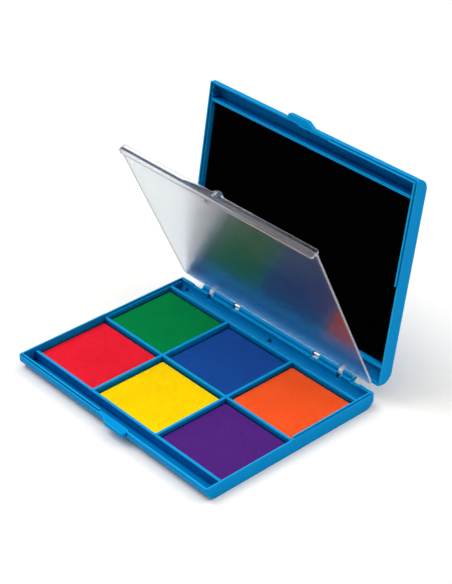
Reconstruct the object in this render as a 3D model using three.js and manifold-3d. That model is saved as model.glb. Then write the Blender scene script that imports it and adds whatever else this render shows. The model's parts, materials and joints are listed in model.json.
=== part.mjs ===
// Six-colour ink pad in a hinged two-shell case, with a clear inner cover.
// Millimetres. +X runs along the hinge, +Y from the latch to the hinge, +Z up.
// The tray stands on z = 0, centred on x = 0 and y = 0.
import * as THREE from "three";
import Module from "manifold-3d";
import { mergeVertices } from "three/addons/utils/BufferGeometryUtils.js";

const wasm = await Module();
wasm.setup();

// Case halves. Tray and lid are one moulding, turned over for the lid.
const WIDTH = 200; // along the hinge
const LENGTH = 153; // latch edge to hinge edge
const DEPTH = 10.9; // floor to rim of one half
const PARTING = 0.3; // gap between the closed rims
const WALL = 2.2;
const REAR_WALL = 2.7;
const FLOOR = 2.0;
const EDGE_R = 9.0; // outer rounding of the long edges
const PLAN_R = 1.4; // rounding of the four corners seen from above
const IN_X = WIDTH / 2 - WALL;
const FRONT_Y = -LENGTH / 2;
const REAR_Y = LENGTH / 2;

// Ribs that divide the wells
const RIB = 2.0;
const RIB_TOP = 9.3;
const CHANNEL_Y = 62.8; // ribs beside the front and rear channels
const COLUMN_X = 33.5;

// Interlocking lips around the parting line
const LIP = 1.0;
const LIP_H = 1.2;
const REBATE_H = 1.5;
const CLEAR = 0.3;
const TRAY_LIP_X = -10; // each half's lip stops short of its latch tab
const LID_LIP_X = 20.6;

// Latch tabs
const TAB_OUT = 3.7;
const TAB_H = 3.2;
const TAB_X = [-5, 20.4];
const TAB_RAMP = 6.5; // the tab slopes out of the wall at one end
const TAB_R = 1.2;

// Hinge
const AXIS_Y = 79.6;
const AXIS_Z = DEPTH + PARTING / 2;
const BARREL_R = 2.55;
const BORE_R = 1.4;
const PIN_R = 1.1;
const BARREL_X = [45, 78];
const KNUCKLE_X = 38;
const PIN_X = [24, 77.4];
const RIM_STEP = 0.9; // lowered rim beside the barrels
const NICHES_X = [-91, 0]; // moulded recesses in the rear wall's inner face

// Inner cover
const COVER_X = 96.9;
const COVER_Z = [9.7, 11.3];
const COVER_REAR_Y = 73.0;
const COVER_CORNER_R = 4;
const BAR_X = 95.4;
const BAR_Y = [-66.2, -64.6];
const BAR_Z = [6.9, 14.1];
const TAB_DISC_R = 6.5;
const HOOKS_X = [-67.4, 67.4];
const HOOK_W = 3.2;
const HOOK_R = [2.85, 3.95];
const HOOK_ENDS = [-5, 262];
const SLOT_W = 4.3;

// Wells' contents and the lid's liner
const PAD = [61, 58.2];
const PAD_CORNER_R = 1.2;
const FOAM_Z = [2.3, 4.9];
const CLOTH_Z = [5.2, 6.3];
const LINER = [97.3, 61.4];
const LINER_T = 3.3;

// Angles of the open case, in degrees from closed
const LID_OPEN = 99.5;
const COVER_OPEN = 65.5;

// ---- solids ----

function solid(geometry) {
  const g = geometry.clone();
  g.deleteAttribute("normal");
  g.deleteAttribute("uv");
  const merged = mergeVertices(g, 1e-4);
  const mesh = new wasm.Mesh({
    numProp: 3,
    vertProperties: new Float32Array(merged.attributes.position.array),
    triVerts: new Uint32Array(merged.index.array),
  });
  return new wasm.Manifold(mesh);
}

function box([x0, x1], [y0, y1], [z0, z1]) {
  const g = new THREE.BoxGeometry(x1 - x0, y1 - y0, z1 - z0);
  return solid(g.translate((x0 + x1) / 2, (y0 + y1) / 2, (z0 + z1) / 2));
}

// A YZ outline carried along X
function prismX(shape, [x0, x1], curveSegments = 9) {
  const options = { depth: x1 - x0, bevelEnabled: false, curveSegments };
  const g = new THREE.ExtrudeGeometry(shape, options);
  const turn = new THREE.Matrix4().makeBasis(
    new THREE.Vector3(0, 1, 0), new THREE.Vector3(0, 0, 1), new THREE.Vector3(1, 0, 0));
  return solid(g.applyMatrix4(turn).translate(x0, 0, 0));
}

// An XY outline carried along Z
function prismZ(shape, [z0, z1], curveSegments = 6) {
  const options = { depth: z1 - z0, bevelEnabled: false, curveSegments };
  return solid(new THREE.ExtrudeGeometry(shape, options).translate(0, 0, z0));
}

// An XZ outline carried along Y
function prismY(shape, [y0, y1], curveSegments = 6) {
  const options = { depth: y1 - y0, bevelEnabled: false, curveSegments };
  const g = new THREE.ExtrudeGeometry(shape, options).rotateX(Math.PI / 2);
  return solid(g.translate(0, y1, 0));
}

function rodX([x0, x1], y, z, r, segments = 24) {
  const g = new THREE.CylinderGeometry(r, r, x1 - x0, segments).rotateZ(Math.PI / 2);
  return solid(g.translate((x0 + x1) / 2, y, z));
}

function rodZ(x, y, [z0, z1], r, segments = 20) {
  const g = new THREE.CylinderGeometry(r, r, z1 - z0, segments).rotateX(Math.PI / 2);
  return solid(g.translate(x, y, (z0 + z1) / 2));
}

function polygon(points) {
  return new THREE.Shape(points.map(([a, b]) => new THREE.Vector2(a, b)));
}

function roundedRect(a0, a1, b0, b1, r) {
  const s = new THREE.Shape();
  s.moveTo(a0 + r, b0).lineTo(a1 - r, b0);
  s.absarc(a1 - r, b0 + r, r, -Math.PI / 2, 0, false).lineTo(a1, b1 - r);
  s.absarc(a1 - r, b1 - r, r, 0, Math.PI / 2, false).lineTo(a0 + r, b1);
  s.absarc(a0 + r, b1 - r, r, Math.PI / 2, Math.PI, false).lineTo(a0, b0 + r);
  s.absarc(a0 + r, b0 + r, r, Math.PI, 1.5 * Math.PI, false);
  return s;
}

const union = (solids) => solids.reduce((sum, next) => sum.add(next));
const mirrored = ([a, b]) => [-b, -a];
const around = (x, width) => [x - width / 2, x + width / 2];

function meshOf(name, manifold, colour, roughness, metalness = 0) {
  const { vertProperties, triVerts } = manifold.getMesh();
  let g = new THREE.BufferGeometry();
  g.setAttribute("position", new THREE.BufferAttribute(vertProperties, 3));
  g.setIndex(new THREE.BufferAttribute(triVerts, 1));
  const material = new THREE.MeshStandardMaterial({ color: colour, roughness, metalness });
  const mesh = new THREE.Mesh(g, material);
  mesh.name = name;
  return mesh;
}

// ---- one half of the case, rim up ----

// Trough outline in YZ, open upward, with both lower corners rounded
function trough(y0, y1, z0, z1, r) {
  const s = new THREE.Shape();
  s.moveTo(y0, z1).lineTo(y0, z0 + r);
  s.absarc(y0 + r, z0 + r, r, Math.PI, 1.5 * Math.PI, false);
  s.lineTo(y1 - r, z0);
  s.absarc(y1 - r, z0 + r, r, 1.5 * Math.PI, 2 * Math.PI, false);
  s.lineTo(y1, z1);
  return s;
}

function latchTab() {
  const [x0, x1] = TAB_X;
  const front = FRONT_Y - TAB_OUT;
  const s = new THREE.Shape();
  s.moveTo(x0, FRONT_Y + 1.2).lineTo(x0, FRONT_Y).lineTo(x0 + TAB_RAMP, front);
  s.lineTo(x1 - TAB_R, front);
  s.absarc(x1 - TAB_R, front + TAB_R, TAB_R, 1.5 * Math.PI, 2 * Math.PI, false);
  s.lineTo(x1, FRONT_Y + 1.2);
  return prismZ(s, [DEPTH - TAB_H, DEPTH]);
}

function lips(endX) {
  const z = [DEPTH - 0.8, DEPTH + LIP_H];
  const inY = FRONT_Y + WALL;
  return union([
    box([-IN_X - LIP, endX], [inY - LIP, inY], z),
    box([-IN_X - LIP, -IN_X], [inY - LIP, 0], z),
    box([IN_X, IN_X + LIP], [0.8, REAR_Y - REAR_WALL], z),
  ]);
}

function rebates(startX) {
  const z = [DEPTH - REBATE_H, DEPTH + 2];
  const deep = LIP + CLEAR;
  const inY = FRONT_Y + WALL;
  return union([
    box([startX, IN_X + deep], [inY - deep, inY + 0.1], z),
    box([IN_X - 0.1, IN_X + deep], [inY - deep, 0.4], z),
    box([-IN_X - deep, -IN_X + 0.1], [0.4, REAR_Y - REAR_WALL + CLEAR], z),
  ]);
}

// Small recesses in the front channel and its end wall
function recesses() {
  return union([
    rodZ(6.8, -69, [1.3, 3], 1.6),
    rodX([IN_X - 1, IN_X + 1.1], -69.2, 6.2, 3.5),
  ]);
}

// The lip ends at lipEnd; the rebate for the other half's lip begins at rebateStart
function caseHalf(lipEnd, rebateStart) {
  const inner = trough(FRONT_Y + WALL, REAR_Y - REAR_WALL, FLOOR, DEPTH + 3, EDGE_R - WALL);
  const plan = roundedRect(-WIDTH / 2, WIDTH / 2, FRONT_Y, REAR_Y, PLAN_R);
  const crossRibs = [-CHANNEL_Y, CHANNEL_Y].map((y) =>
    box([-IN_X - 0.5, IN_X + 0.5], around(y, RIB), [FLOOR - 0.5, RIB_TOP]));
  return prismX(trough(FRONT_Y, REAR_Y, 0, DEPTH, EDGE_R), [-WIDTH / 2, WIDTH / 2])
    .intersect(prismZ(plan, [-1, DEPTH + 1]))
    .subtract(prismX(inner, [-IN_X, IN_X]))
    .add(union(crossRibs))
    .add(latchTab())
    .subtract(rebates(rebateStart))
    .add(lips(lipEnd))
    .subtract(recesses());
}

// ---- tray ----

function wellRibs() {
  const z = [FLOOR - 0.5, RIB_TOP];
  return union([
    box([-IN_X - 0.5, IN_X + 0.5], around(0, RIB), z),
    ...[-COLUMN_X, COLUMN_X].map((x) => box(around(x, RIB), [-CHANNEL_Y, CHANNEL_Y], z)),
  ]);
}

// Bracket below the barrels, tapering down the rear wall
function barrelWeb(xs) {
  const outline = polygon([
    [REAR_Y - 0.6, DEPTH - 0.2], [AXIS_Y - 1, DEPTH - 0.2],
    [AXIS_Y + 1.6, AXIS_Z - 1.6], [AXIS_Y - 0.6, 6.6], [REAR_Y - 0.6, 4.8],
  ]);
  return prismX(outline, xs);
}

// Space that a hook sweeps through the rear wall and beside its barrel
function hookSlot(x, [z0, z1]) {
  return box(around(x, SLOT_W), [REAR_Y - REAR_WALL - 0.4, REAR_Y + 0.4], [z0, z1]);
}

function tray() {
  const barrelSpans = [mirrored(BARREL_X), BARREL_X];
  const swept = HOOKS_X.map((x) => box(around(x, SLOT_W), [REAR_Y, 90], [0, 20]));
  const slots = HOOKS_X.map((x) => hookSlot(x, [AXIS_Z - HOOK_R[1] - CLEAR, 20]));
  const stepZ = [DEPTH - RIM_STEP, DEPTH + 2];
  const stepY = [REAR_Y - REAR_WALL - 0.4, REAR_Y + 0.4];
  const steps = [[KNUCKLE_X + 0.4, BARREL_X[0] - 0.3], [BARREL_X[1] + 0.3, 86]]
    .flatMap((span) => [span, mirrored(span)])
    .map((span) => box(span, stepY, stepZ));
  const niches = NICHES_X.map((x) => rodZ(x, 71.3, [3.6, 7.5], 2.4));
  return caseHalf(TRAY_LIP_X, LID_LIP_X - CLEAR)
    .add(wellRibs())
    .subtract(union([...steps, ...niches]))
    .add(union(barrelSpans.map(barrelWeb)).subtract(union(swept)))
    .subtract(union(slots))
    .add(union(barrelSpans.map((xs) => rodX(xs, AXIS_Y, AXIS_Z, BARREL_R))))
    .subtract(rodX([-90, 90], AXIS_Y, AXIS_Z, BORE_R));
}

// ---- lid, drawn closed ----

function knuckle() {
  const outline = polygon([
    [REAR_Y - 0.6, DEPTH + 0.6], [AXIS_Y - 1.4, DEPTH + 0.6], [AXIS_Y + 1.8, AXIS_Z + 1.4],
    [AXIS_Y - 0.8, 17], [REAR_Y - 0.6, 18.4],
  ]);
  const span = [-KNUCKLE_X, KNUCKLE_X];
  const bores = [[22.4, KNUCKLE_X + 1], [-KNUCKLE_X - 1, -22.4]];
  return prismX(outline, span)
    .add(rodX(span, AXIS_Y, AXIS_Z, BARREL_R))
    .subtract(union(bores.map((xs) => rodX(xs, AXIS_Y, AXIS_Z, BORE_R))));
}

function lid() {
  const closedTop = 2 * DEPTH + PARTING;
  const turnedOver = caseHalf(-LID_LIP_X, -TRAY_LIP_X - CLEAR)
    .rotate([0, 180, 0])
    .translate([0, 0, closedTop]);
  return turnedOver
    .subtract(union(HOOKS_X.map((x) => hookSlot(x, [0, 14.8]))))
    .add(knuckle());
}

// ---- inner cover, drawn closed ----

// C-shaped hook on an arm: open at its lower rear, and closed round the barrel in front
function hook(x) {
  const [r0, r1] = HOOK_R;
  const [rearEnd, frontEnd] = HOOK_ENDS.map((degrees) => degrees * Math.PI / 180);
  const s = new THREE.Shape();
  s.absarc(AXIS_Y, AXIS_Z, r1, rearEnd, frontEnd, false);
  s.absarc(AXIS_Y, AXIS_Z, r0, frontEnd, rearEnd, true);
  const ring = prismX(s, around(x, HOOK_W), 20);
  const arm = box(around(x, HOOK_W), [COVER_REAR_Y - 1, AXIS_Y - 3.2], [9.9, COVER_Z[1]]);
  return ring.add(arm);
}

function innerCover() {
  const panel = new THREE.Shape();
  const r = COVER_CORNER_R;
  panel.moveTo(-COVER_X, BAR_Y[0] + 0.8).lineTo(COVER_X, BAR_Y[0] + 0.8);
  panel.lineTo(COVER_X, COVER_REAR_Y - r);
  panel.absarc(COVER_X - r, COVER_REAR_Y - r, r, 0, Math.PI / 2, false);
  panel.lineTo(-COVER_X + r, COVER_REAR_Y);
  panel.absarc(-COVER_X + r, COVER_REAR_Y - r, r, Math.PI / 2, Math.PI, false);
  const mid = (BAR_Z[0] + BAR_Z[1]) / 2;
  const flanges = [[BAR_Z[0], mid + 0.25], [mid - 0.25, BAR_Z[1]]].map(([z0, z1]) =>
    prismY(roundedRect(-BAR_X, BAR_X, z0, z1, 1.7), BAR_Y));
  const disc = new THREE.Shape().absarc(0.4, mid, TAB_DISC_R, 0, 2 * Math.PI, false);
  const nib = polygon([[BAR_Y[0] + 0.3, mid], [BAR_Y[0] - 2, mid + 0.4],
    [BAR_Y[0] - 1.2, mid + 4.6], [BAR_Y[0] + 0.3, mid + 5.2]]);
  return union([
    prismZ(panel, COVER_Z),
    ...flanges,
    prismY(disc, BAR_Y, 12),
    prismX(nib, [-1.7, -0.7]),
    ...HOOKS_X.map(hook),
  ]);
}

// ---- wells' contents ----

function padLayer(cx, cy, zs) {
  const [w, l] = PAD;
  return prismZ(roundedRect(cx - w / 2, cx + w / 2, cy - l / 2, cy + l / 2, PAD_CORNER_R), zs, 4);
}

const outerX = (IN_X + COLUMN_X + RIB / 2) / 2;
const rowY = (CHANNEL_Y + 0) / 2;
const INKS = [
  { name: "red", colour: "#e41f2f", at: [-outerX, -rowY] },
  { name: "yellow", colour: "#fdd303", at: [0, -rowY] },
  { name: "purple", colour: "#532583", at: [outerX, -rowY] },
  { name: "green", colour: "#00763a", at: [-outerX, rowY] },
  { name: "blue", colour: "#143c82", at: [0, rowY] },
  { name: "orange", colour: "#f15121", at: [outerX, rowY] },
];

// ---- assembly ----

const CASE_BLUE = "#0684cf";

// Carries closed-position shapes, turned open about the hinge
function swung(degrees, meshes) {
  const group = new THREE.Group();
  group.position.set(0, AXIS_Y, AXIS_Z);
  group.rotation.x = -THREE.MathUtils.degToRad(degrees);
  for (const mesh of meshes) {
    mesh.position.set(0, -AXIS_Y, -AXIS_Z);
    group.add(mesh);
  }
  return group;
}

const linerTop = 2 * DEPTH + PARTING - FLOOR - CLEAR;
const linerSheet = box([-LINER[0], LINER[0]], [-LINER[1], LINER[1]], [linerTop - LINER_T, linerTop]);
const hingePin = (xs) => rodX(xs, AXIS_Y, AXIS_Z, PIN_R, 20);

const inkPad = new THREE.Group();
inkPad.add(meshOf("tray", tray(), CASE_BLUE, 0.32));
for (const { name, colour, at } of INKS) {
  inkPad.add(meshOf(`${name}_foam`, padLayer(...at, FOAM_Z), colour, 0.95));
  inkPad.add(meshOf(`${name}_ink_cloth`, padLayer(...at, CLOTH_Z), colour, 0.9));
}
inkPad.add(swung(COVER_OPEN, [meshOf("inner_cover", innerCover(), "#dfe3e6", 0.4)]));
inkPad.add(swung(LID_OPEN, [
  meshOf("lid", lid(), CASE_BLUE, 0.32),
  meshOf("lid_liner", linerSheet, "#060607", 0.95),
  meshOf("hinge_pin_left", hingePin(mirrored(PIN_X)), "#c9c9c6", 0.3, 1),
  meshOf("hinge_pin_right", hingePin(PIN_X), "#c9c9c6", 0.3, 1),
]));

export default inkPad;
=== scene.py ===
"""Looks for the hinged six-colour ink pad: moulded plastic, frosted cover, cloth pads."""
import json
import math

import bmesh
import bpy
from mathutils import Matrix, Vector, noise


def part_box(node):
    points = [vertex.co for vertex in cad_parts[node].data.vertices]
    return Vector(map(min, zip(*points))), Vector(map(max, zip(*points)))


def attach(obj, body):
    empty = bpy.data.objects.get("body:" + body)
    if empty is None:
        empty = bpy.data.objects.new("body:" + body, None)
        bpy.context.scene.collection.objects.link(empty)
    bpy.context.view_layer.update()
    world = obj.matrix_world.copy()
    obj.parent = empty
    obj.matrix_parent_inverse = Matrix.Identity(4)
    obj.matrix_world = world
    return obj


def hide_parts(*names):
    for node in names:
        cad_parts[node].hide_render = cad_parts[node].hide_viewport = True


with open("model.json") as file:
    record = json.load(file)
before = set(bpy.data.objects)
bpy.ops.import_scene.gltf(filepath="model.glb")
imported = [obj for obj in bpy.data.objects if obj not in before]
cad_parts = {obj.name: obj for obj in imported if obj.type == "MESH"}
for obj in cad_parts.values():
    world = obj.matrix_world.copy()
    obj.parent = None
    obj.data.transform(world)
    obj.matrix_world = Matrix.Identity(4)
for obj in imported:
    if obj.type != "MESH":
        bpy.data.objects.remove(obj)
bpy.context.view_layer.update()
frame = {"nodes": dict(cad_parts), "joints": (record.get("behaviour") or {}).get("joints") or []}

MM = 0.001
HINGES = {joint["name"]: joint for joint in frame["joints"]}
HINGE = Vector(HINGES["lid_hinge"]["pos_m"])
COVER_OPEN = math.radians(-HINGES["inner_cover_hinge"]["range_deg"][0])
LID_OPEN = COVER_OPEN + math.radians(-HINGES["lid_hinge"]["range_deg"][0])

# The cover in millimetres, case shut: its front bar, its panel and the line where they join
BAR_FRONT, BAR_BACK = -66.2, -64.6
PANEL_Z, PANEL_REAR = (9.7, 11.3), 73.0
ROOT_Z = (9.65, 11.35)
PANEL_AREA = 2000 * MM * MM  # only the panel's two sides are larger

# Places in the case's halves where their wide flat faces are split
SPLIT_X, SPLIT_Y = (-66, 0, 66), (-31.4, 31.4)

# Material slots of the cover; the edge and hook slots hold pale plastic that is a painted
# highlight
PANEL_FINISH, ROOT_FINISH, EDGE_HIGHLIGHT_SLOT, HOOK_HIGHLIGHT_SLOT = 1, 2, 3, 4

CAMERA_AT = (0.70360, -0.60384, 0.67581)
CAMERA_AZIMUTH, CAMERA_ELEVATION = 47.978, 32.82
CAMERA_LENS = 101.37


def opened(angle):
    """Carries a closed-case shape to where it stands when turned open by angle."""
    turn = Matrix.Rotation(-angle, 4, "X")
    return Matrix.Translation(HINGE) @ turn @ Matrix.Translation(-HINGE)


def towards(azimuth, elevation):
    """Unit vector at these degrees; azimuth 0 is the front, and 90 the right."""
    a, e = math.radians(azimuth), math.radians(elevation)
    return Vector((math.sin(a) * math.cos(e), -math.cos(a) * math.cos(e), math.sin(e)))


# ---- node helpers ----


class Nodes:
    """A short way to write a node tree."""

    def __init__(self, name):
        self.material = bpy.data.materials.new(name)
        self.material.use_nodes = True
        self.tree = self.material.node_tree
        self.shader = self.tree.nodes["Principled BSDF"]
        self.place = self.add("ShaderNodeTexCoord").outputs["Object"]

    def add(self, kind, **settings):
        node = self.tree.nodes.new(kind)
        for key, value in settings.items():
            setattr(node, key, value)
        return node

    def link(self, a, b):
        self.tree.links.new(a, b)

    def drive(self, socket, output):
        """Links an output to one of the shader's sockets."""
        self.link(output, self.shader.inputs[socket])

    def set(self, **values):
        """Sets the shader's own sockets, with _ for each space in a socket's name."""
        for key, value in values.items():
            self.shader.inputs[key.replace("_", " ")].default_value = value

    def noise(self, scale, detail, rough=0.55, place=None, distort=0.0):
        node = self.add("ShaderNodeTexNoise")
        node.inputs["Scale"].default_value = scale
        node.inputs["Detail"].default_value = detail
        node.inputs["Roughness"].default_value = rough
        node.inputs["Distortion"].default_value = distort
        self.link(place or self.place, node.inputs["Vector"])
        return node.outputs["Fac"]

    def cells(self, scale):
        node = self.add("ShaderNodeTexVoronoi", feature="F1")
        node.inputs["Scale"].default_value = scale
        self.link(self.place, node.inputs["Vector"])
        return node.outputs["Distance"]

    def span(self, fac, low, high, start=0.3, end=0.7):
        """Carries fac from start..end to low..high."""
        node = self.add("ShaderNodeMapRange")
        for socket, value in zip(
            ("From Min", "From Max", "To Min", "To Max"), (start, end, low, high)
        ):
            node.inputs[socket].default_value = value
        self.link(fac, node.inputs["Value"])
        return node.outputs["Result"]

    def sums(self, a, b, weight):
        """a plus b times weight."""
        node = self.add("ShaderNodeMath", operation="MULTIPLY_ADD")
        self.link(b, node.inputs[0])
        node.inputs[1].default_value = weight
        self.link(a, node.inputs[2])
        return node.outputs[0]

    def crevice(self, distance, only_local=True, inside=False):
        """Ambient occlusion within distance: 1 in the open, less in grooves and gaps.

        With inside it looks into the solid, so that it is less along sharp outer edges.
        """
        node = self.add(
            "ShaderNodeAmbientOcclusion", samples=8, only_local=only_local, inside=inside
        )
        node.inputs["Distance"].default_value = distance
        return node.outputs["AO"]

    def times(self, a, b):
        node = self.add("ShaderNodeMix", data_type="RGBA", blend_type="MULTIPLY")
        node.inputs["Factor"].default_value = 1.0
        self.link(a, node.inputs["A"])
        self.link(b, node.inputs["B"])
        return node.outputs["Result"]

    def ramp(self, fac, stops):
        node = self.add("ShaderNodeValToRGB")
        ramp = node.color_ramp
        while len(ramp.elements) < len(stops):
            ramp.elements.new(0.5)
        for element, (at, colour) in zip(ramp.elements, stops):
            element.position = at
            element.color = (*colour, 1)
        self.link(fac, node.inputs["Fac"])
        return node.outputs["Color"]

    def bump(self, height, depth, strength):
        node = self.add("ShaderNodeBump")
        node.inputs["Strength"].default_value = strength
        node.inputs["Distance"].default_value = depth
        self.link(height, node.inputs["Height"])
        return node.outputs["Normal"]


def srgb(hex_code):
    """Linear colour of a hex code."""
    parts = [int(hex_code[i : i + 2], 16) / 255 for i in (0, 2, 4)]
    return tuple(
        c / 12.92 if c <= 0.04045 else ((c + 0.055) / 1.055) ** 2.4 for c in parts
    )


def scaled(colour, k):
    return tuple(min(1.0, c * k) for c in colour)


# ---- materials ----

def case_plastic():
    """Blue moulding with painted shade in its channels and where it meets other parts, and lighter
    outer edges: worn and with a painted highlight.
    """
    n = Nodes("moulded_blue_plastic")
    base = scaled(srgb("008dce"), 0.97)
    tone = n.noise(38, 3)
    grain = n.noise(2400, 2)
    colour = n.ramp(tone, [(0.3, scaled(base, 0.965)), (0.7, scaled(base, 1.03))])
    # painted shade: the moulding is darkened deep in its channels and wells, where less light
    # reaches
    painted_recess_shade = n.crevice(0.014)
    colour = n.times(colour, n.ramp(painted_recess_shade, [(0.3, (0.34, 0.40, 0.56)), (0.9, (1, 1, 1))]))
    # painted shade: darkened within 3 mm of the pads and other parts, where they shade each other
    painted_seam_shade = n.crevice(0.003, only_local=False)
    colour = n.times(colour, n.ramp(painted_seam_shade, [(0.4, (0.08, 0.1, 0.24)), (0.7, (1, 1, 1))]))
    # outer edges lighter: partly wear, partly a painted highlight where the edges catch the light
    corner = n.crevice(0.0007, inside=True)
    edge_wear_and_highlight = n.add("ShaderNodeMix", data_type="RGBA")
    n.link(n.span(corner, 0.5, 0.0, 0.55, 0.95), edge_wear_and_highlight.inputs["Factor"])
    n.link(colour, edge_wear_and_highlight.inputs["A"])
    edge_wear_and_highlight.inputs["B"].default_value = (0.03, 0.52, 0.87, 1)
    n.drive("Base Color", edge_wear_and_highlight.outputs["Result"])
    n.drive("Roughness", n.span(n.noise(160, 5), 0.3, 0.38))
    n.drive("Normal", n.bump(grain, 0.00002, 0.3))
    n.set(IOR=1.49, Specular_IOR_Level=0.01, Coat_Weight=0.03, Coat_Roughness=0.12)
    return n.material


def ink_cloth(name, colour):
    """Cloth soaked with ink: a fine nap, cloudy ink and painted shade along its rim where it meets
    the well.
    """
    n = Nodes(f"{name}_inked_cloth")
    nap = n.noise(900, 6, 0.75, distort=0.4)
    cloud = n.noise(45, 3)
    mixed = n.sums(nap, cloud, 0.2)
    ink = n.ramp(
        n.span(mixed, 0, 1, 0.4, 0.8),
        [(0.0, scaled(colour, 0.72)), (0.5, colour), (1.0, scaled(colour, 1.28))],
    )
    # painted shade: the cloth is darkened where it meets the well's walls, in the gap between pad
    # and rib
    rim = n.ramp(
        n.crevice(0.0016, only_local=False), [(0.4, (0.1, 0.1, 0.12)), (0.72, (1, 1, 1))]
    )
    n.drive("Base Color", n.times(ink, rim))
    fibre = n.sums(nap, n.cells(1100), 0.5)
    n.drive("Normal", n.bump(fibre, 0.00022, 0.7))
    n.set(Roughness=0.95, Specular_IOR_Level=0.04, Sheen_Weight=0.06, Sheen_Roughness=0.6)
    n.set(Sheen_Tint=(*scaled(colour, 1.3), 1))
    return n.material


def ink_foam(name, colour):
    n = Nodes(f"{name}_soaked_foam")
    pores = n.cells(900)
    dark, light = scaled(colour, 0.3), scaled(colour, 0.72)
    n.drive("Base Color", n.ramp(pores, [(0.05, dark), (0.45, light)]))
    n.drive("Normal", n.bump(pores, 0.0004, 0.8))
    n.set(Roughness=0.9, Specular_IOR_Level=0.1)
    return n.material


def liner_foam():
    n = Nodes("black_liner_foam")
    pores = n.cells(1300)
    fine = n.noise(900, 5)
    n.drive("Base Color", n.ramp(fine, [(0.3, (0.0002,) * 3), (0.7, (0.0008,) * 3)]))
    n.drive("Normal", n.bump(n.sums(pores, fine, 0.5), 0.0002, 0.6))
    n.set(Roughness=1.0, Specular_IOR_Level=0.005)
    return n.material


def pin_steel():
    """Drawn wire, with lines along the pin."""
    n = Nodes("drawn_steel_wire")
    mapped = n.add("ShaderNodeMapping")
    mapped.inputs["Scale"].default_value = (0.04, 1, 1)
    n.link(n.place, mapped.inputs["Vector"])
    lines = n.noise(9000, 3, place=mapped.outputs["Vector"])
    n.drive("Base Color", n.ramp(lines, [(0.3, (0.74, 0.74, 0.77)), (0.7, (0.88, 0.88, 0.91))]))
    n.drive("Roughness", n.span(lines, 0.38, 0.5))
    n.drive("Normal", n.bump(lines, 0.00002, 0.4))
    n.set(Metallic=1.0)
    return n.material


def clear_plastic(name, grain, detail, dark, light, rough, ior, **settings):
    """One finish of the cover's plastic: a tone and a roughness that vary slightly."""
    n = Nodes(name)
    haze = n.noise(grain, detail)
    n.drive("Roughness", n.span(haze, *rough))
    n.drive("Base Color", n.ramp(haze, [(0.3, dark), (0.7, light)]))
    n.set(IOR=ior, **settings)
    return n.material


def polished_plastic():
    return clear_plastic(
        "clear_polished_plastic", 220, 4, (0.93, 0.94, 0.98), (0.97, 0.98, 1.0),
        rough=(0.03, 0.09), ior=1.25, Transmission_Weight=1.0,
    )


def milky_plastic(name, dark, light, clearness):
    """A less clear plastic with a tone of its own; the pale tone on the cover's edges and hooks is
    a painted highlight.
    """
    return clear_plastic(
        name, 360, 4, dark, light, rough=(0.25, 0.35), ior=1.3, Transmission_Weight=clearness
    )


def frosted_plastic():
    return clear_plastic(
        "clear_frosted_plastic", 60, 4, (0.70, 0.79, 0.86), (0.74, 0.83, 0.90),
        rough=(0.25, 0.29), ior=1.2,
        Transmission_Weight=1.0, Coat_Weight=1.0, Coat_Roughness=0.24,
    )


def floor_paper():
    n = Nodes("pale_floor")
    speck = n.noise(60, 3)
    n.drive("Base Color", n.ramp(speck, [(0.3, (0.855, 0.83, 0.80)), (0.7, (0.87, 0.845, 0.815))]))
    n.set(Roughness=0.9, Specular_IOR_Level=0.0)
    return n.material


# ---- pieces ----


def add_object(name, bm, material):
    mesh = bpy.data.meshes.new(name)
    bm.to_mesh(mesh)
    bm.free()
    mesh.materials.append(material)
    obj = bpy.data.objects.new(name, mesh)
    bpy.context.scene.collection.objects.link(obj)
    return obj


def cut(bm, angle, axis, places):
    """Adds edges where planes across an axis of the shut case meet the surface."""
    across = opened(angle).to_3x3() @ axis
    for place in places:
        spot = opened(angle) @ (axis * place * MM)
        bmesh.ops.bisect_plane(
            bm, geom=bm.verts[:] + bm.edges[:] + bm.faces[:], dist=1e-7,
            plane_co=spot, plane_no=across,
        )


def moulded(node, name, body, material, radius, angle=None, zones=None):
    """The CAD node with its sharp edges broken to a radius, as a moulding has them.

    angle is how far a half of the case stands open; it is given for the tray and the
    lid, whose wide faces with holes must be split before the bevel. zones gives the
    faces of the cover their finishes and returns those finishes.
    """
    bm = bmesh.new()
    bm.from_mesh(frame["nodes"][node].data)
    bmesh.ops.remove_doubles(bm, verts=bm.verts, dist=0.002 * MM)
    bmesh.ops.dissolve_limit(
        bm, angle_limit=math.radians(0.8), verts=bm.verts, edges=bm.edges
    )
    if angle is not None:
        cut(bm, angle, Vector((1, 0, 0)), SPLIT_X)
        cut(bm, angle, Vector((0, 1, 0)), SPLIT_Y)
    bmesh.ops.recalc_face_normals(bm, faces=bm.faces)
    finishes = zones(bm) if zones else []
    for face in bm.faces:
        face.smooth = not zones or face.calc_area() < PANEL_AREA
    obj = add_object(name, bm, material)
    for finish in finishes:
        obj.data.materials.append(finish)
    bevel = obj.modifiers.new("broken_edges", "BEVEL")
    bevel.width, bevel.segments = radius * MM, 2
    bevel.limit_method, bevel.angle_limit = "ANGLE", math.radians(32)
    bevel.use_clamp_overlap, bevel.miter_outer = True, "MITER_ARC"
    if zones:
        # on the cover the bevels get the pale edge plastic, a painted highlight
        bevel.material = EDGE_HIGHLIGHT_SLOT
    else:
        normals = obj.modifiers.new("flat_faces", "WEIGHTED_NORMAL")
        normals.keep_sharp = True
    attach(obj, body)
    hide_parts(node)
    return obj


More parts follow.
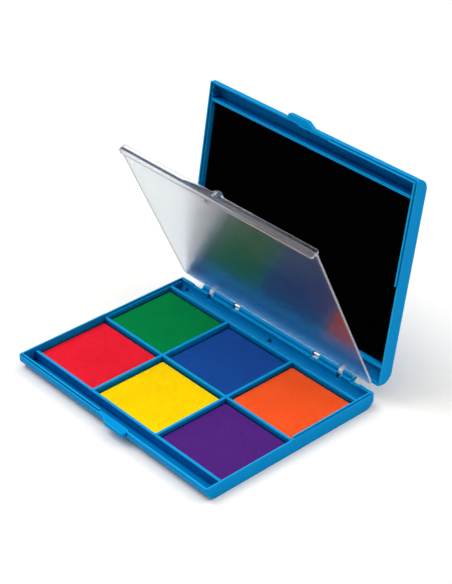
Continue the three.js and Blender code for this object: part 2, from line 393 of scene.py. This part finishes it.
def cover_zones(bm):
    """Frosted panel, milky root line along the bar, and edges and hooks made pale as a painted
    highlight.
    """
    shut = opened(COVER_OPEN).inverted()
    cut(bm, COVER_OPEN, Vector((0, 0, 1)), ROOT_Z)
    for face in bm.faces:
        spot = (shut @ face.calc_center_median()) / MM
        way = shut.to_3x3() @ face.normal
        on_bar_front = way.y < -0.9 and abs(spot.y - BAR_FRONT) < 0.1
        on_bar_rim = abs(way.y) < 0.5 and spot.y < BAR_BACK + 0.05
        on_panel_rim = abs(way.z) < 0.5 and PANEL_Z[0] - 0.1 < spot.z < PANEL_Z[1] + 0.1
        if face.calc_area() > PANEL_AREA:
            face.material_index = PANEL_FINISH
        elif on_bar_front and ROOT_Z[0] < spot.z < ROOT_Z[1]:
            face.material_index = ROOT_FINISH
        elif spot.y > PANEL_REAR + 0.1:
            face.material_index = HOOK_HIGHLIGHT_SLOT
        elif on_bar_rim or on_panel_rim:
            face.material_index = EDGE_HIGHLIGHT_SLOT
    return [
        frosted_plastic(),
        milky_plastic("milky_root_plastic", (0.08, 0.088, 0.14), (0.11, 0.12, 0.19), 0.3),
        # pale edges and hooks: a painted highlight
        milky_plastic("painted_highlight_edge_plastic", (0.7, 0.68, 0.76), (0.82, 0.8, 0.88), 0.6),
        milky_plastic("painted_highlight_hook_plastic", (0.66, 0.68, 0.74), (0.84, 0.86, 0.9), 0.4),
    ]


def outline_distance(x, y, w, l, r):
    """Signed distance to a rounded rectangle's outline, negative inside."""
    qx, qy = abs(x) - w / 2 + r, abs(y) - l / 2 + r
    return math.hypot(max(qx, 0), max(qy, 0)) + min(max(qx, qy), 0) - r


def stations(length, pitch):
    """Positions across a length, closer together near both ends."""
    edge = [0, 0.15, 0.35, 0.6, 0.95, 1.4, 2.1, 3.2, 5.0]
    inset = edge[-1]
    count = max(1, round((length - 2 * inset) / pitch))
    middle = [inset + (length - 2 * inset) * i / count for i in range(1, count)]
    full = edge + middle + [length - e for e in reversed(edge)]
    return [s - length / 2 for s in full]


def drawn_in(x, y, w, l, r):
    """A grid point, moved onto the rounded outline if it lies outside, and its distance."""
    d = outline_distance(x, y, w, l, r)
    for _ in range(3):
        if d > -1e-4:
            step = 1e-3
            gx = outline_distance(x + step, y, w, l, r) - d
            gy = outline_distance(x, y + step, w, l, r) - d
            g = math.hypot(gx, gy) or 1.0
            x, y = x - d * gx / g, y - d * gy / g
            d = outline_distance(x, y, w, l, r)
    return x, y, d


def face_height(x, y, d, top, drop, wave, seed):
    """Height of a slab's face: rolled over by drop at its outline, and uneven by wave."""
    t = min(1.0, max(0.0, -d / (1.3 * drop)))
    z = top - drop * (1 - math.sqrt(max(0.0, 1 - (1 - t) ** 2)))
    broad = noise.noise(Vector((x * 0.11 + seed, y * 0.11, seed * 1.7))) - 1
    fine = noise.noise(Vector((x * 0.9, y * 0.9, seed))) - 1
    dip = 0.5 * wave * broad + 0.12 * wave * fine
    return z + dip * min(1.0, max(0.15, -d / 4))


def soft_slab(name, material, centre, size, zs, corner, drop, wave, pitch=2.4, seed=0.0):
    """A closed slab of cloth or foam: rolled upper edges and a slightly uneven face."""
    w, l = size
    z0, z1 = zs
    bm = bmesh.new()
    rows = []
    for grid_y in stations(l, pitch):
        row = []
        for grid_x in stations(w, pitch):
            x, y, d = drawn_in(grid_x, grid_y, w, l, corner)
            z = face_height(x, y, d, z1, drop, wave, seed)
            row.append(bm.verts.new(((centre[0] + x) * MM, (centre[1] + y) * MM, z * MM)))
        rows.append(row)
    for a, b in zip(rows, rows[1:]):
        for i in range(len(a) - 1):
            bm.faces.new((a[i], a[i + 1], b[i + 1], b[i]))
    rim = rows[0] + [r[-1] for r in rows[1:]] + rows[-1][-2::-1]
    rim += [r[0] for r in rows[-2:0:-1]]
    foot = [bm.verts.new((v.co.x, v.co.y, z0 * MM)) for v in rim]
    count = len(rim)
    for i in range(count):
        j = (i + 1) % count
        bm.faces.new((rim[j], rim[i], foot[i], foot[j]))
    bm.faces.new(list(reversed(foot)))
    bmesh.ops.remove_doubles(bm, verts=bm.verts, dist=0.001 * MM)
    bmesh.ops.recalc_face_normals(bm, faces=bm.faces)
    for face in bm.faces:
        face.smooth = len(face.verts) <= 4
    return add_object(name, bm, material)


plastic = case_plastic()
steel = pin_steel()
moulded("tray", "tray_moulding", "case_tray", plastic, 0.28, angle=0)
moulded("lid", "lid_moulding", "swing_lid", plastic, 0.28, angle=LID_OPEN)
cover = moulded(
    "inner_cover", "inner_cover_moulding", "swing_cover",
    polished_plastic(), 0.3, zones=cover_zones,
)
cover.visible_shadow = False  # clear plastic lets the studio light through to the lid
for side in ("left", "right"):
    moulded(f"hinge_pin_{side}", f"hinge_pin_{side}_wire", "swing_lid", steel, 0.2)

INKS = {
    "red": (0.70, 0.011, 0.026),
    "yellow": (0.86, 0.56, 0.0005),
    "purple": (0.070, 0.0145, 0.17),
    "green": (0.0003, 0.185, 0.046),
    "blue": (0.008, 0.056, 0.26),
    "orange": (0.87, 0.084, 0.015),
}
CLOTH_GAP = 0.05  # above where the CAD's cloth begins
FOAM_INSET = 0.2


def measured(node):
    """A node's centre and size across, and its lowest and highest z, in millimetres."""
    low, high = (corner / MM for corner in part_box(node))
    centre, size = (low + high) / 2, high - low
    return (centre.x, centre.y), (size.x, size.y), (low.z, high.z)


for i, (ink, colour) in enumerate(INKS.items()):
    centre, (w, l), (bottom, top) = measured(f"{ink}_ink_cloth")
    cloth = soft_slab(
        f"{ink}_pad_cloth", ink_cloth(ink, colour), centre, (w, l),
        (bottom + CLOTH_GAP, top), corner=1.2, drop=0.75, wave=0.3, seed=3.1 * i + 0.7,
    )
    centre, (w, l), heights = measured(f"{ink}_foam")
    foam = soft_slab(
        f"{ink}_pad_foam", ink_foam(ink, colour), centre, (w - FOAM_INSET, l - FOAM_INSET),
        heights, corner=1.4, drop=0.5, wave=0.1, pitch=6, seed=i + 0.3,
    )
    for piece, node in ((cloth, f"{ink}_ink_cloth"), (foam, f"{ink}_foam")):
        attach(piece, "case_tray")
        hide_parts(node)

# The liner is drawn face up, turned over into the shut lid, and opened with it
LINER_SIZE, LINER_THICKNESS, LINER_TOP = (194.6, 122.8), 3.3, 19.8
liner = soft_slab(
    "lid_liner_sheet", liner_foam(), (0, 0), LINER_SIZE, (-LINER_THICKNESS, 0),
    corner=1.0, drop=0.6, wave=0.25, pitch=5, seed=9.0,
)
turned_over = Matrix.Rotation(math.pi, 4, "X")
liner.data.transform(
    Matrix.Translation((0, 0, (LINER_TOP - LINER_THICKNESS) * MM)) @ turned_over
)
liner.data.transform(opened(LID_OPEN))
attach(liner, "swing_lid")
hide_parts("lid_liner")

# ---- floor, light and camera ----

FLOOR_Z = -0.0002  # just under the case, so that their faces don't coincide

bm = bmesh.new()
bmesh.ops.create_grid(bm, x_segments=8, y_segments=8, size=6)
floor = add_object("floor", bm, floor_paper())
floor.location.z = FLOOR_Z

scene = bpy.context.scene


def studio_dome(strength, levels):
    """A grey sky, darkest at the horizon and below it and brightest overhead."""
    world = bpy.data.worlds.new("studio")
    scene.world = world
    world.use_nodes = True
    sky = world.node_tree
    place = sky.nodes.new("ShaderNodeTexCoord")
    height = sky.nodes.new("ShaderNodeSeparateXYZ")
    dome = sky.nodes.new("ShaderNodeValToRGB")
    stops = dome.color_ramp.elements
    while len(stops) < len(levels):
        stops.new(0.5)
    for stop, (at, level) in zip(stops, levels):
        stop.position, stop.color = at, (level, level, level, 1)
    sky.links.new(place.outputs["Generated"], height.inputs["Vector"])
    sky.links.new(height.outputs["Z"], dome.inputs["Fac"])
    sky.links.new(dome.outputs["Color"], sky.nodes["Background"].inputs["Color"])
    sky.nodes["Background"].inputs["Strength"].default_value = strength


def sun(name, azimuth, elevation, strength, spread):
    """Light from that direction; a wide spread, in degrees, makes its shadows soft."""
    light = bpy.data.lights.new(name, "SUN")
    light.energy, light.angle = strength, math.radians(spread)
    obj = bpy.data.objects.new(name, light)
    obj.rotation_euler = towards(azimuth, elevation).to_track_quat("Z", "Y").to_euler()
    scene.collection.objects.link(obj)


studio_dome(1.8, ((0.0, 0.05), (0.4, 0.1), (0.7, 0.5), (1.0, 0.95)))
sun("key", -58, 58, 1.1, 35)
sun("side_fill", 85, 12, 0.45, 60)
sun("glint", -49, 34, 0.12, 7)
sun("rim", 150, 45, 0.35, 40)

camera = bpy.data.objects.new("camera", bpy.data.cameras.new("camera"))
camera.data.lens, camera.data.sensor_width = CAMERA_LENS, 36
camera.data.clip_start = 0.01
camera.location = CAMERA_AT
view = towards(CAMERA_AZIMUTH, CAMERA_ELEVATION)
camera.rotation_euler = view.to_track_quat("Z", "Y").to_euler()
scene.collection.objects.link(camera)
scene.camera = camera

scene.view_settings.view_transform = "Standard"
scene.cycles.use_denoising = True
scene.cycles.denoising_input_passes = "RGB"  # the other passes leave marks on the panel
scene.cycles.transmission_bounces = 12
scene.cycles.max_bounces = 16
